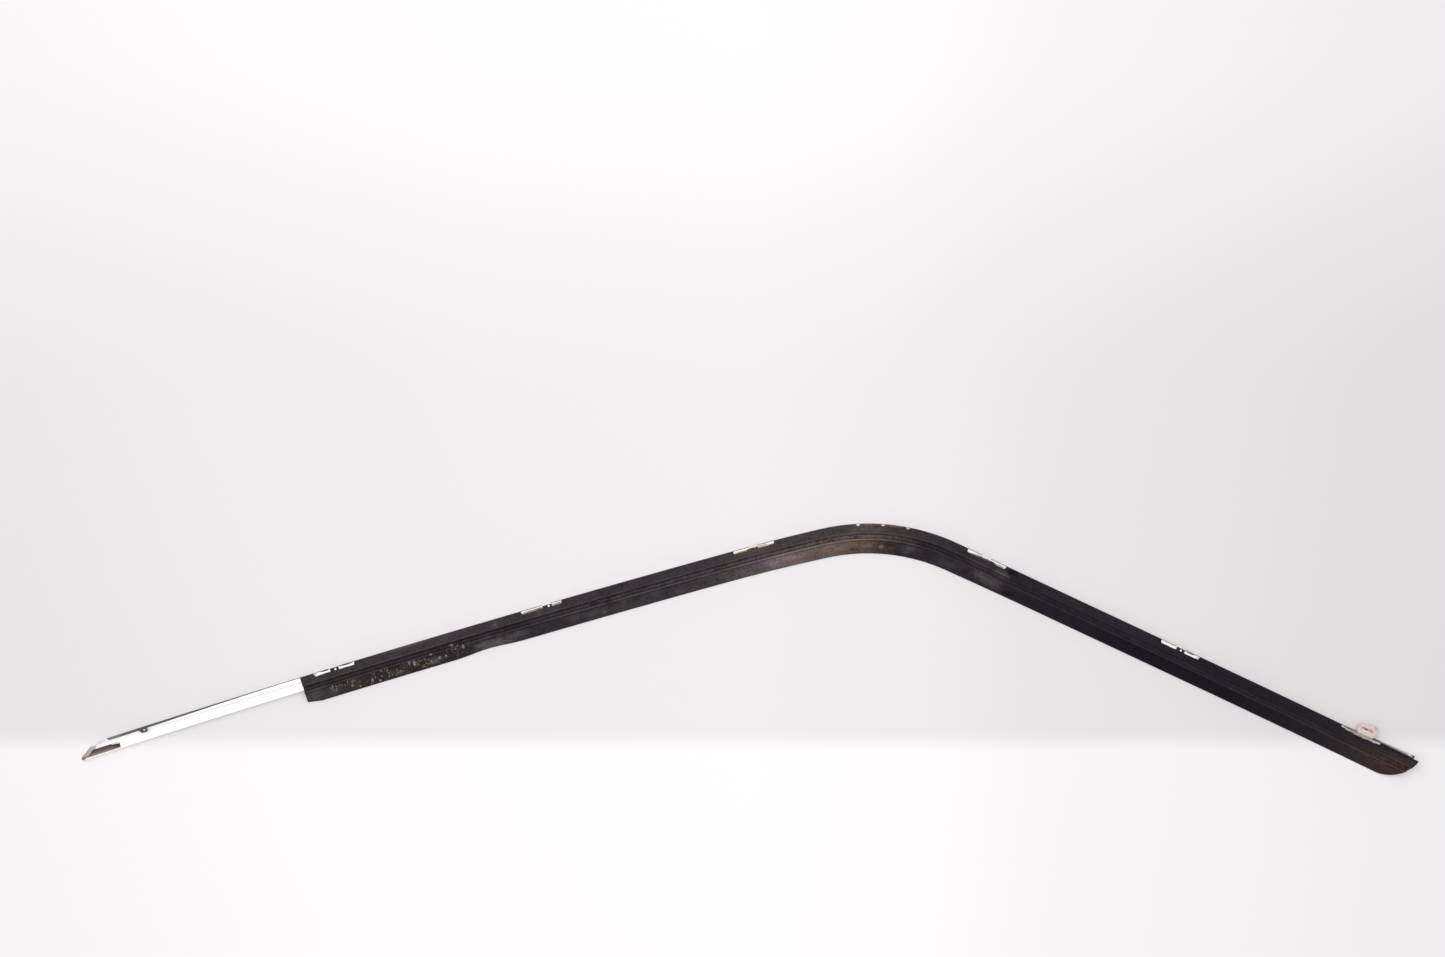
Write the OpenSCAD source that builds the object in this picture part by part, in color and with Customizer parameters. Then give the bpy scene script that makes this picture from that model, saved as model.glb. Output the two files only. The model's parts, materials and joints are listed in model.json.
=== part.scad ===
// Roof moulding of a car, seen from the side that faces the body.
// A bright rolled strip carries a black backing profile, six steel clips and one nylon clip.
// The moulding lies on its bright face. X runs from the bare tip to the rounded foot, Z is up.
// Places along it are given as s, the distance along the top edge, and u, the distance across.

/* [Line of the moulding] */
// Rise of the line at its start, from the X axis
start_rise = 17.9; // [10:0.1:25]
// Length of the roof leg
roof_len = 959; // [800:1:1100]
// Turn of the roof leg over its whole length
roof_turn = 2.5; // [0.5:0.1:4]
// Length of the tighter run that leads into the bend
lead_len = 123; // [80:1:160]
// Turn of the tighter run
lead_turn = 2.4; // [0.5:0.1:4]
// Length of the bend, along the top edge
bend_len = 201; // [160:1:300]
// Turn of the bend
bend_turn = 38.1; // [25:0.1:45]
// Length of the straight part of the pillar leg
pillar_len = 380; // [250:1:450]
// Length of the last run of the pillar leg, down to the foot of the strip
foot_len = 341; // [280:1:420]
// Turn of the last run
foot_turn = 0.8; // [0.2:0.1:2]

/* [Bright strip] */
// Width of the strip
strip_w = 19.6; // [18:0.1:22]
// Thickness of the sheet
sheet_t = 0.8; // [0.6:0.05:1]
// Depth of the crowned face
crown_h = 3; // [2:0.1:3.4]
// Height of the top flange above the floor
flange_h = 9; // [8.6:0.1:11]
// Height of the lower flange above the floor
return_h = 5.5; // [5:0.1:6]
// Width of the folded lip on the top flange
lip_w = 6.2; // [5.8:0.1:6.6]
// Width of the same lip at the bare tip
tip_lip_w = 3.6; // [2.6:0.1:5]
// Width of the folded lip on the lower flange
return_lip_w = 1.8; // [1.4:0.1:2.2]
// Distance that the top flange leans out at the foot of the strip
heel_lean = 4.2; // [0:0.1:5]

/* [Bare tip] */
// Distance from the start of the line back to the sharp corner of the slanted end
tip_len = 32.5; // [26:0.5:38]
// Angle between the slanted end and the top edge
tip_slant = 33; // [28:1:45]
// Length of the point that is cut off that corner
tip_blunt = 6; // [2:0.5:8]
// Distance that the top edge is drawn in at the upper corner of the slanted end
tip_draw = 2.6; // [0:0.1:3]
// Place where the folded top lip starts
lip_start = 15; // [10:1:25]
// Height of the closed end of the tip
tip_end_h = 6; // [5:0.1:7]
// Width of the sloping wall that closes the tip
tip_end_w = 7; // [4:0.5:9]
// Length of the sloping lower wall of the tip, past the start of the line
gusset_len = 32; // [24:1:40]
// Width of the sloping lower wall of the tip
gusset_w = 9.8; // [6:0.2:10]

/* [Backing profile] */
// Place where the backing profile starts
backing_start = 307; // [280:1:330]
// Distance that the backing profile reaches past the foot of the strip
backing_over = 8; // [5:0.5:12]
// Width of the backing profile
backing_w = 41; // [37:0.5:44]
// Extra width of the backing profile round the bend
bend_bulge = 2; // [0:0.5:4]
// Thickness of its cover over the strip
cover_t = 2; // [1.8:0.1:2.6]
// Distance of its first ridge from the top edge
ridge_u = 12; // [11:0.1:13]
// Distance of its second ridge from the top edge
second_ridge_u = 21.4; // [21:0.1:23]
// Height of the ridges above the cover
ridge_h = 0.7; // [0.4:0.1:1]
// Depth of the channel between the ridges
channel_depth = 4; // [3:0.1:4.2]
// Radius of the rounded foot
foot_r = 52; // [48:1:60]
// Distance that the lower edge is drawn in at the start of the backing profile
start_draw = 3.4; // [0:0.1:6]
// Length over which it is drawn in
start_draw_len = 20; // [5:1:28]
// Depth of the dip in the lower edge
dip_h = 2.8; // [0:0.1:4]
// Place of the middle of the dip
dip_s = 578; // [520:1:640]
// Length of the dip
dip_len = 100; // [80:5:160]

/* [Windows and notches] */
// Distance of the first window past the start of the backing profile
first_window = 50.5; // [40:0.5:60]
// Distance of the second window before the bend
second_window = 415.2; // [380:0.1:450]
// Distance of the third window before the bend
third_window = 99.7; // [80:0.1:130]
// Distance of the fourth window before the foot of the strip
fourth_window = 674.2; // [640:0.1:700]
// Distance of the fifth window before the foot of the strip
fifth_window = 368.6; // [340:0.1:400]
// Distance of the last window before the foot of the strip
sixth_window = 82.7; // [70:0.1:100]
// Length of a window
window_len = 61; // [44:0.5:70]
// Depth of a window from the top edge
window_depth = 5.3; // [5.1:0.1:6.2]
// Distance of the first relief notch past the start of the bend
first_notch = 54; // [20:1:70]
// Distance between the relief notches
notch_pitch = 36; // [30:0.5:42]
// Width of a relief notch
notch_w = 8.5; // [4:0.5:10]
// Depth of a relief notch
notch_depth = 3.9; // [2:0.1:4.2]

/* [Steel clips] */
// Place of the clip on the bare length
bare_clip = 72; // [50:1:120]
// Distance that a steel clip sits past the middle of its window
clip_shift = 1.5; // [-4:0.5:4]
// The same for the clip in the second window, which has slid along
slid_clip = 10.5; // [-8:0.5:14]
// Thickness of a steel clip
clip_t = 0.8; // [0.6:0.05:1]
// Length of a steel clip at the top edge
clip_root = 14; // [12:0.5:18]
// Length of a steel clip at its free end
clip_end = 9; // [7.5:0.5:11]
// Reach of a steel clip from the top edge
clip_reach = 8.6; // [7.6:0.1:9]
// Depth of the hook that holds it over the outside of the flange
clip_hook = 3.2; // [2:0.1:4]
// Diameter of the hole in a steel clip
eye_d = 3.2; // [2.8:0.1:3.2]
// Distance of that hole from the top edge
eye_u = 3.5; // [3.3:0.1:3.5]
// The same for the clip on the bare length
bare_eye_u = 5; // [3.3:0.1:5.6]

/* [Nylon clip] */
// Length of the nylon clip at its root
nylon_len = 24; // [20:0.5:28]
// Distance that it stands out from the top flange
nylon_out = 15.6; // [13:0.1:20]
// Thickness of the nylon clip
nylon_t = 8; // [6:0.1:9]
// Distance of the middle of its root from the middle of its window
nylon_shift = 5.5; // [-8:0.5:8]
// Height of the underside of the nylon clip above the floor
nylon_z = 1.6; // [0.5:0.1:2]
// Thickness of the saddle that holds it on the top flange
saddle_t = 1.5; // [1:0.1:1.8]
// Clearance between a piece and what it seats on
seat_gap = 0.15; // [0.1:0.05:0.25]

/* [Hidden] */
$fn = 64;

// Each stretch of the line is an arc: its length and its turn, which is negative to the right.
stretches = [
    [roof_len, -roof_turn],
    [lead_len, -lead_turn],
    [bend_len, -bend_turn],
    [pillar_len, 0],
    [foot_len, -foot_turn]
];
strip_end = run_of(len(stretches));
backing_end = strip_end + backing_over;
ring_step = 45;
ring_turn = 2.4;
ring_gap = 4;
dip_rings = 6;
bulge_reach = 250;
crown_steps = 14;
lip_run = 300;
lip_steps = 6;
cut_h = 40;

function run_of(n) = n == 0 ? 0 : run_of(n - 1) + stretches[n - 1][0];
function rise_of(n) = n == 0 ? start_rise : rise_of(n - 1) + stretches[n - 1][1];

// The point reached from p after an arc that starts at angle a
function advance(p, a, length, turn) =
    let (half = turn / 2)
    let (chord = abs(half) < 0.001 ? length : length * sin(half) / (half * PI / 180))
    p + chord * [cos(a + half), sin(a + half)];
function corner_of(n) = n == 0
    ? [0, 0]
    : advance(corner_of(n - 1), rise_of(n - 1), stretches[n - 1][0], stretches[n - 1][1]);

// The stretch that holds s, the part of it that is used up, and the line's point and angle there
function stretch_at(s, n = 0) =
    n == len(stretches) - 1 || s < run_of(n + 1) ? n : stretch_at(s, n + 1);
function share_at(s) = let (n = stretch_at(s)) (s - run_of(n)) / stretches[n][0];
function rise_at(s) = let (n = stretch_at(s)) rise_of(n) + stretches[n][1] * share_at(s);
function line_at(s) =
    let (n = stretch_at(s), part = share_at(s))
    advance(corner_of(n), rise_of(n), stretches[n][0] * part, stretches[n][1] * part);
function across(s, u) = line_at(s) + u * [sin(rise_at(s)), -cos(rise_at(s))];

// The middle of the whole moulding in plan, from the four points that reach furthest
foot_inset = 1.8;
bend_r = bend_len / (bend_turn * PI / 180);
top_y = across(run_of(2), bend_r)[1] + bend_r;
foot_c = across(backing_end - foot_r + foot_inset, backing_w - foot_r);
low_y = foot_c[1] - foot_r;
cover_edge = 0.4;
left_x = across(tip_blunt - tip_len, strip_w)[0];
right_x = across(backing_end, cover_edge)[0];
middle = [(left_x + right_x) / 2, (low_y + top_y) / 2];

// The windows are placed from the start of the backing profile, the bend and the foot
bend_start = run_of(2);
window_places = [
    backing_start + first_window,
    bend_start - second_window,
    bend_start - third_window,
    strip_end - fourth_window,
    strip_end - fifth_window,
    strip_end - sixth_window
];
// The first steel clip is on the bare length, and the others are in the first five windows
function clip_s(k) = k == 0 ? bare_clip : window_places[k - 1] + (k == 2 ? slid_clip : clip_shift);

// The top flange leans out from the start of the last window to the foot of the strip
lean_start = window_places[5] - window_len / 2;
function lean_at(s) = heel_lean * max(0, (s - lean_start) / (strip_end - lean_start));

// The lower edge of the last window is worn in steps
worn_steps = 9;
function worn_depth(k) = window_depth * (0.62 + 0.3 * sin(180 * (k + 0.5) / worn_steps)) + (k % 2) / 2;

// Sizes of the nylon clip that follow from the others
nylon_top = flange_h + seat_gap + saddle_t - nylon_z;
nylon_taper = 0.6;
nylon_s = window_places[5] + nylon_shift;
nylon_lean = atan(heel_lean / (strip_end - lean_start));
saddle_reach = 1.6;
slot_len = 6;
slot_w = 3.4;
slot_x = -1.7;
slot_y = nylon_out * 0.35;
groove_len = nylon_len - 6;
groove_depth = 3;

// Rings of a sweep: closer together where the line turns, with rings of their own where the
// section starts to change and all along the dip
function sorted(list) = len(list) < 2
    ? list
    : let (below = [for (v = list) if (v < list[0]) v], above = [for (v = list) if (v > list[0]) v])
      concat(sorted(below), [list[0]], sorted(above));
own_marks = concat(
    [lip_start, lean_start, backing_start + start_draw_len],
    [for (k = [0:dip_rings]) dip_s + dip_len * (k / dip_rings - 0.5)]
);
marks = sorted(concat(own_marks, [
    for (n = [0:len(stretches) - 1])
        let (rings = max(ceil(stretches[n][0] / ring_step), ceil(abs(stretches[n][1]) / ring_turn)))
        for (k = [0:rings - 1])
            let (s = run_of(n) + stretches[n][0] * k / rings)
            if (min([for (own = own_marks) abs(own - s)]) > ring_gap) s
]));
function stops(from, to) = concat([from], [for (s = marks) if (s > from + 1 && s < to - 1) s], [to]);

// Ear cutting, which splits a section that is not convex into triangles for the ends of a sweep
function turn_of(a, b, c) = (b[0] - a[0]) * (c[1] - a[1]) - (b[1] - a[1]) * (c[0] - a[0]);
function holds(a, b, c, p) = turn_of(a, b, p) >= 0 && turn_of(b, c, p) >= 0 && turn_of(c, a, p) >= 0;
function corner(ids, k) = let (n = len(ids)) [ids[(k + n - 1) % n], ids[k], ids[(k + 1) % n]];
function is_ear(pts, t, ids) =
    turn_of(pts[t[0]], pts[t[1]], pts[t[2]]) > 0
    && len([
        for (i = ids)
            if (i != t[0] && i != t[1] && i != t[2] && holds(pts[t[0]], pts[t[1]], pts[t[2]], pts[i])) i
    ]) == 0;
function first_ear(pts, ids, k = 0) = is_ear(pts, corner(ids, k), ids) ? k : first_ear(pts, ids, k + 1);
function ears(pts, ids) = len(ids) == 3
    ? [ids]
    : let (k = first_ear(pts, ids))
      concat([corner(ids, k)], ears(pts, [for (i = [0:len(ids) - 1]) if (i != k) ids[i]]));

// Sweeps a section, a function of s that gives points [u, z] anticlockwise, along the line
module sweep(from, to, section) {
    places = stops(from, to);
    rings = [for (s = places) [for (p = section(s)) [each across(s, p[0]), p[1]]]];
    n = len(rings[0]);
    last = (len(rings) - 1) * n;
    cap = ears(section(from), [for (j = [0:n - 1]) j]);
    sides = [
        for (i = [0:len(rings) - 2], j = [0:n - 1])
            let (a = i * n + j, b = i * n + (j + 1) % n)
            each [[a, b, b + n], [a, b + n, a + n]]
    ];
    start_cap = [for (t = cap) [t[2], t[1], t[0]]];
    end_cap = [for (t = ears(section(to), [for (j = [0:n - 1]) j])) [last + t[0], last + t[1], last + t[2]]];
    polyhedron([for (r = rings) each r], concat(start_cap, sides, end_cap), convexity = 12);
}

// Puts what is drawn along X, with Y towards the top edge, at a place on the line
module at(s, u = 0) {
    translate(across(s, u)) rotate(rise_at(s)) children();
}

// Extrudes a section [u, z] straight along the line, which is near enough over a short length
module short_run(from, to) {
    at(from) rotate([90, 0, 90]) mirror([1, 0]) linear_extrude(to - from) children();
}

// A curve of the crowned face: half of an ellipse, hollow side up
function crown(inset) = [
    for (k = [0:crown_steps])
        let (a = 180 * k / crown_steps)
        [
            strip_w / 2 - (strip_w / 2 - inset) * cos(a),
            crown_h - (crown_h - inset) * sin(a)
        ]
];
function reversed(list) = [for (k = [len(list) - 1:-1:0]) list[k]];

// The lip widens from the bare tip along the bare length
function lip_at(s) = s > lip_run ? lip_w : tip_lip_w + (lip_w - tip_lip_w) * max(s, 0) / lip_run;

function strip_outline(s) = concat(
    [
        [lip_at(s), flange_h - sheet_t], [lip_at(s), flange_h],
        [0.5 * sheet_t - lean_at(s), flange_h], [-lean_at(s), flange_h - 0.5 * sheet_t]
    ],
    crown(0),
    [
        [strip_w, return_h - 0.4 * sheet_t],
        [strip_w - 0.4 * sheet_t, return_h],
        [strip_w - return_lip_w, return_h],
        [strip_w - return_lip_w, return_h - sheet_t],
        [strip_w - sheet_t, return_h - sheet_t]
    ],
    reversed(crown(sheet_t)),
    [[sheet_t - lean_at(s), flange_h - sheet_t]]
);
// Before the lip starts, the section is drawn in from the top edge
upper_corner = strip_w / tan(tip_slant) - tip_len;
function draw_at(s) = tip_draw * max(0, (lip_start - s) / (lip_start - upper_corner));
function strip_section(s) = [for (p = strip_outline(s)) [p[0] + draw_at(s) * (1 - p[0] / strip_w), p[1]]];

// Plan of the slanted end: everything behind it is cut away
module tip_end() {
    at(-tip_len, strip_w) rotate(tip_slant) children();
}

module strip_filled(from, to, height) {
    short_run(from, to) polygon(concat([[0, height]], crown(0), [[strip_w, height]]));
}

// The closed tip: a wall that slopes in from the slanted end, and one along the lower edge
module tip_walls() {
    intersection() {
        strip_filled(-tip_len - 4, lip_start, tip_end_h);
        tip_end() rotate([90, 0, 90]) translate([0, 0, -6]) linear_extrude(strip_w / sin(tip_slant) + 12)
            polygon([
                [0, 0], [0, tip_end_h], [-sheet_t, tip_end_h],
                [-tip_end_w, sheet_t], [-tip_end_w, 0]
            ]);
    }
    intersection() {
        strip_filled(-tip_len - 4, gusset_len, return_h);
        short_run(-tip_len - 4, gusset_len)
            polygon([
                [strip_w, 0], [strip_w, return_h], [strip_w - sheet_t, return_h],
                [strip_w - gusset_w, sheet_t * 1.4], [strip_w - gusset_w, 0]
            ]);
    }
}

module trim_strip() {
    color("gainsboro") translate([-middle[0], -middle[1], 0]) difference() {
        union() {
            sweep(-tip_len, strip_end, function (s) strip_section(s));
            difference() {
                tip_walls();
                at(lip_start) rotate(atan(tip_draw / (lip_start - upper_corner)))
                    translate([-4 * strip_w, -sheet_t / 4, -1]) cube([6 * strip_w, strip_w, cut_h]);
            }
        }
        translate([0, 0, -1]) tip_end() translate([-strip_w, 0, 0]) cube([4 * strip_w, 3 * strip_w, cut_h]);
        at(tip_blunt - tip_len) translate([-2 * tip_len, -2 * strip_w, -1])
            cube([2 * tip_len, 3 * strip_w, cut_h]);
        translate([0, 0, return_h]) at(-2 * tip_len) translate([0, -2 * strip_w, 0])
            cube([2 * tip_len + lip_start, 3 * strip_w, cut_h]);
    }
}

// The lower lip of the backing profile is drawn in at its start and at the dip, and bulges round
// the bend
function start_draw_at(s) = start_draw * max(0, 1 - (s - backing_start) / start_draw_len);
function dip_at(s) = abs(s - dip_s) < dip_len / 2 ? dip_h * (1 + cos(360 * (s - dip_s) / dip_len)) / 2 : 0;
function bulge_at(s) =
    let (off = abs(s - bend_start - 0.4 * bend_len))
    off < bulge_reach ? bend_bulge * (1 + cos(180 * off / bulge_reach)) / 2 : 0;
function lip_point(part, slope, shift, from_z, to_z, bow) =
    [second_ridge_u + 2 + slope * part + shift, from_z - (from_z - to_z) * part ^ bow];
function backing_section(s) =
    let (
        base = flange_h + seat_gap,
        top = base + cover_t,
        floor_z = top - channel_depth,
        under = return_h + seat_gap,
        root = lip_w + 0.4,
        edge = backing_w + bulge_at(s) - dip_at(s) - start_draw_at(s),
        neck = strip_w - return_lip_w - 0.3,
        slope = edge - second_ridge_u - 2
    )
    concat(
        [
            [cover_edge, base], [root, base], [root, flange_h - sheet_t - seat_gap],
            [root - 2.6, flange_h - sheet_t - seat_gap - 0.2], [root - 2.6, 6.4], [root - 1.4, 4.6],
            [root + 1.6, 4.6], [root + 1.8, base], [ridge_u, base], [ridge_u + 0.8, under],
            [neck - 2.4, under - 0.7],
            [neck - 2.4, 3], [neck - 0.4, 2.7], [neck + 0.8, return_h - sheet_t - 0.8],
            [neck, return_h - sheet_t - 0.3], [neck, under], [strip_w + 0.8, under],
            [second_ridge_u + 1.4, under + 1.5]
        ],
        [for (k = [1:lip_steps]) lip_point(k / lip_steps, slope, -1.2, under + 1.5, 0.3, 1.2)],
        [[edge - 0.4, 0.3], [edge, 0.9], [edge - 0.5, 1.7]],
        [for (k = [lip_steps - 1:-1:1]) lip_point(k / lip_steps, slope, 0, top - 1.2, 1.7, 1.1)],
        [
            [second_ridge_u + 2, top - 0.9], [second_ridge_u + 1.6, top + ridge_h - 0.4],
            [second_ridge_u + 0.6, top + ridge_h - 0.4], [second_ridge_u, top - 0.6],
            [second_ridge_u - 0.6, floor_z], [ridge_u + 2.6, floor_z], [ridge_u + 2, top],
            [ridge_u + 1.5, top + ridge_h], [ridge_u + 0.5, top + ridge_h], [ridge_u, top],
            [cover_edge + 0.5, top], [cover_edge, top - 0.5]
        ]
    );

// Plan of a window, with ends that slope a little
module window_cut(s) {
    at(s) translate([0, 0, -1]) linear_extrude(cut_h) polygon([
        [-window_len / 2 - 1, 3], [window_len / 2 + 1, 3],
        [window_len / 2 - 1, -window_depth + 0.8], [window_len / 2 - 2, -window_depth],
        [-window_len / 2 + 2, -window_depth], [-window_len / 2 + 1, -window_depth + 0.8]
    ]);
}

// Plan of the last window, with its worn lower edge
module worn_window_cut(s) {
    step = window_len / worn_steps;
    at(s) translate([-window_len / 2, 0, -1]) linear_extrude(cut_h) polygon(concat(
        [[0, 3], [window_len, 3]],
        [for (k = [worn_steps - 1:-1:0]) each [[step * (k + 1), -worn_depth(k)], [step * k, -worn_depth(k)]]]
    ));
}

module notch_cut(s) {
    at(s) translate([0, 0, -1]) linear_extrude(cut_h) polygon([
        [-notch_w / 2, 0.2], [-0.6, -notch_depth], [0.6, -notch_depth], [notch_w / 2, 0.2],
        [notch_w / 2, 3], [-notch_w / 2, 3]
    ]);
}

// Plan of a steel clip, which narrows on one side towards its free end
module clip_plan(spare = 0) {
    polygon([
        [clip_end / 2 - clip_root - spare, clip_t + seat_gap],
        [clip_end / 2 + spare, clip_t + seat_gap],
        [clip_end / 2 + spare, 1 - clip_reach],
        [clip_end / 2 - 1 + spare, -clip_reach - spare],
        [-clip_end / 2 - spare, -clip_reach - spare],
        [clip_end / 2 - clip_root - spare, -1.5]
    ]);
}

// Room under the cover for a steel clip
module clip_pocket(s) {
    at(s) translate([0, 0, flange_h - seat_gap]) linear_extrude(clip_t + 3 * seat_gap) clip_plan(2 * seat_gap);
}

module foot_cut() {
    difference() {
        at(strip_end) translate([backing_over - foot_r + foot_inset, -2 * backing_w, -1])
            cube([2 * foot_r, 3 * backing_w, cut_h]);
        translate(foot_c) cylinder(r = foot_r, h = 3 * cut_h, center = true);
    }
}

module backing_profile() {
    color("dimgray") translate([-middle[0], -middle[1], 0]) difference() {
        sweep(backing_start, backing_end, function (s) backing_section(s));
        for (k = [0:4]) window_cut(window_places[k]);
        for (k = [1:5]) clip_pocket(clip_s(k));
        worn_window_cut(window_places[5]);
        for (k = [0:2]) notch_cut(bend_start + first_notch + k * notch_pitch);
        foot_cut();
    }
}

// A steel clip: a pierced plate on the lip, with a hook over the outside of the flange
module steel_clip(k) {
    color("saddlebrown") translate([-middle[0], -middle[1], flange_h + seat_gap]) at(clip_s(k)) difference() {
        union() {
            linear_extrude(clip_t) clip_plan();
            translate([clip_end / 2 - clip_root, seat_gap, -clip_hook])
                cube([clip_root, clip_t, clip_hook + clip_t]);
        }
        translate([0, k == 0 ? -bare_eye_u : -eye_u, -1]) cylinder(d = eye_d, h = clip_t + 2);
    }
}

// The nylon clip: a saddle over the top flange and a rounded, pierced body that stands out from it
module nylon_post(x, y, r, bottom, top) {
    translate([x, y, bottom]) cylinder(r = r, h = top - bottom, $fn = 32);
}

module nylon_body() {
    low = nylon_taper;
    high = nylon_t - nylon_taper;
    hull() {
        nylon_post(-nylon_len / 2 + 2, seat_gap + 2, 2, 0, nylon_top);
        nylon_post(nylon_len / 2 - 2, seat_gap + 2, 2, 0, nylon_top);
        nylon_post(-nylon_len / 2 + 0.5, nylon_out * 0.45, 3, low, high);
        nylon_post(-nylon_len / 2 + 7, nylon_out - 7, 5, low, high);
        nylon_post(nylon_len / 2 - 1, nylon_out - 3, 3, low, high);
    }
}

module nylon_clip() {
    color("bisque") translate([-middle[0], -middle[1], nylon_z])
    at(nylon_s, -lean_at(nylon_s)) rotate(nylon_lean) {
        difference() {
            nylon_body();
            translate([slot_x - slot_len / 2, slot_y, -1]) cube([slot_len, slot_w, cut_h]);
            translate([-groove_len / 2, slot_y, nylon_t - groove_depth]) cube([groove_len, slot_w, cut_h]);
        }
        translate([-nylon_len / 2, -saddle_reach, nylon_top - saddle_t])
            cube([nylon_len, saddle_reach + 2, saddle_t]);
    }
}

trim_strip();
backing_profile();
steel_clip(0);  // clip_1
steel_clip(1);  // clip_2
steel_clip(2);  // clip_3
steel_clip(3);  // clip_4
steel_clip(4);  // clip_5
steel_clip(5);  // clip_6
nylon_clip();
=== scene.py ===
import functools
import json
import math
import random

import bpy
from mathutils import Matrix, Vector
from mathutils.bvhtree import BVHTree

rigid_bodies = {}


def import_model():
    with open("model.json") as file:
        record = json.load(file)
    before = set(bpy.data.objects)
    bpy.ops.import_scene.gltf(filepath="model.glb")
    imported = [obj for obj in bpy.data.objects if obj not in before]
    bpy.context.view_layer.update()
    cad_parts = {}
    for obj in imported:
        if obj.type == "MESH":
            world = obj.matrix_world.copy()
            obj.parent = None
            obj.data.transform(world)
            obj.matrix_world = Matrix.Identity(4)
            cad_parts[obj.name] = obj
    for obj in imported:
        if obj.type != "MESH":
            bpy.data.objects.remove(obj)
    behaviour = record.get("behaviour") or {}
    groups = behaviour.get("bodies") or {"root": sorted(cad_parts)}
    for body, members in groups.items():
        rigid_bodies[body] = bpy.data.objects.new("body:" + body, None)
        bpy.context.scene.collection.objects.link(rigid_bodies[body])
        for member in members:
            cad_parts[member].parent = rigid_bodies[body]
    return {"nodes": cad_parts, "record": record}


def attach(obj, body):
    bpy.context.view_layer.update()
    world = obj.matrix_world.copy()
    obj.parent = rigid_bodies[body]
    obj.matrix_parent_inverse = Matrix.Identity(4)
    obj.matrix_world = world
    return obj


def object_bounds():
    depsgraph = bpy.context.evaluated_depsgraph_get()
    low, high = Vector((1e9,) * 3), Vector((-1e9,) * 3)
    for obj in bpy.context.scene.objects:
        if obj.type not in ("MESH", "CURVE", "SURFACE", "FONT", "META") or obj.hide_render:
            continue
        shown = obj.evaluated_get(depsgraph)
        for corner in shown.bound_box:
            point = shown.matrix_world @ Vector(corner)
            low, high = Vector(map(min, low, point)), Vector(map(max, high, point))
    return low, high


for extra in list(bpy.data.objects):  # whatever the start-up file holds
    bpy.data.objects.remove(extra)

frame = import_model()
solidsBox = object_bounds()
nodes = frame["nodes"]
print("loaded", len(nodes), "solids")

# Lengths along and across the moulding are in mm, and angles in degrees. Along is counted on the
# top edge from the start of the bare tip, and across from that edge inwards.
mm = 0.001
line = {
    "rise": 17.9,
    "runs": [(959, 2.5), (123, 2.4), (201, 38.1), (380, 0), (341, 0.8)],  # length, turn to the right
    "knownHole": ("clip_1_eye", 72, 5),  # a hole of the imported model, and where it is on the line
}


def turned(point, rise, length, turn):
    # the point after an arc of that length and turn
    if turn == 0:
        return point + length * Vector((math.cos(rise), math.sin(rise)))
    radius = length / turn
    centre = point + radius * Vector((math.sin(rise), -math.cos(rise)))
    return centre + radius * Vector((-math.sin(rise - turn), math.cos(rise - turn)))


def layLine():
    # every run of the line: where it starts, its heading there, its length and its turn
    laid = []
    point, rise, start = Vector((0, 0)), math.radians(line["rise"]), 0
    for length, degrees in line["runs"]:
        turn = math.radians(degrees)
        laid.append({"start": start, "point": point, "rise": rise, "length": length, "turn": turn})
        point, rise, start = turned(point, rise, length, turn), rise - turn, start + length
    return laid


def onLine(along, across=0):
    # the point in plan, in mm
    run = [r for r in runs if r["start"] <= max(along, 0)][-1]
    turn = run["turn"] * (along - run["start"]) / run["length"]
    rise = run["rise"] - turn
    point = turned(run["point"], run["rise"], along - run["start"], turn)
    return point + across * Vector((math.sin(rise), -math.cos(rise)))


runs = layLine()
holeName, holeAlong, holeAcross = line["knownHole"]
holes = {m["name"]: m["pos_m"] for m in frame["record"]["mounts"]}
shift = Vector(holes[holeName][:2]) / mm - onLine(holeAlong, holeAcross)
for run in runs:
    run["point"] = run["point"] + shift
print("line laid,", len(runs), "runs")


class Wire:
    # one socket of a material's tree: sums on it add Math nodes, and node() adds any other node
    def __init__(self, tree, socket=None):
        self.tree = tree
        self.socket = socket

    def node(self, kind, settings=None, sockets=None, out=0):
        made = self.tree.nodes.new(kind)
        for name, value in (settings or {}).items():
            if name == "stops":
                ramp = made.color_ramp.elements
                ramp[0].color, ramp[1].color = value[0][1], value[-1][1]
                for place, colour in value[1:-1]:
                    ramp.new(place).color = colour
            else:
                setattr(made, name, value)
        for name, value in (sockets or {}).items():
            if isinstance(value, Wire):
                self.tree.links.new(value.socket, made.inputs[name])
            else:
                made.inputs[name].default_value = value
        return Wire(self.tree, made.outputs[out] if len(made.outputs) else None)

    def math(self, operation, first, second):
        return self.node("ShaderNodeMath", {"operation": operation}, {0: first, 1: second})

    def __add__(self, other):
        return self.math("ADD", self, other)

    def __sub__(self, other):
        return self.math("SUBTRACT", self, other)

    def __rsub__(self, other):
        return self.math("SUBTRACT", other, self)

    def __mul__(self, other):
        return self.math("MULTIPLY", self, other)

    def __truediv__(self, other):
        return self.math("DIVIDE", self, other)

    def __pow__(self, other):
        return self.math("POWER", self, other)

    def __gt__(self, other):
        return self.math("GREATER_THAN", self, other)

    __radd__ = __add__
    __rmul__ = __mul__


def tone(red, green, blue):
    # a colour as a screen shows it, 0 to 255, as the linear one that shaders take
    parts = [v / 255 for v in (red, green, blue)]
    return tuple(v / 12.92 if v < 0.04045 else ((v + 0.055) / 1.055) ** 2.4 for v in parts) + (1,)


def climb(t, value, low, high):
    # 0 below low and 1 above high, eased between them; the other way round where low is above high
    return t.node(
        "ShaderNodeMapRange", {"interpolation_type": "SMOOTHSTEP"},
        {"Value": value, "From Min": low, "From Max": high},
    )


def within(t, value, low, high, soft):
    return climb(t, value, low - soft, low + soft) * climb(t, value, high + soft, high - soft)


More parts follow.
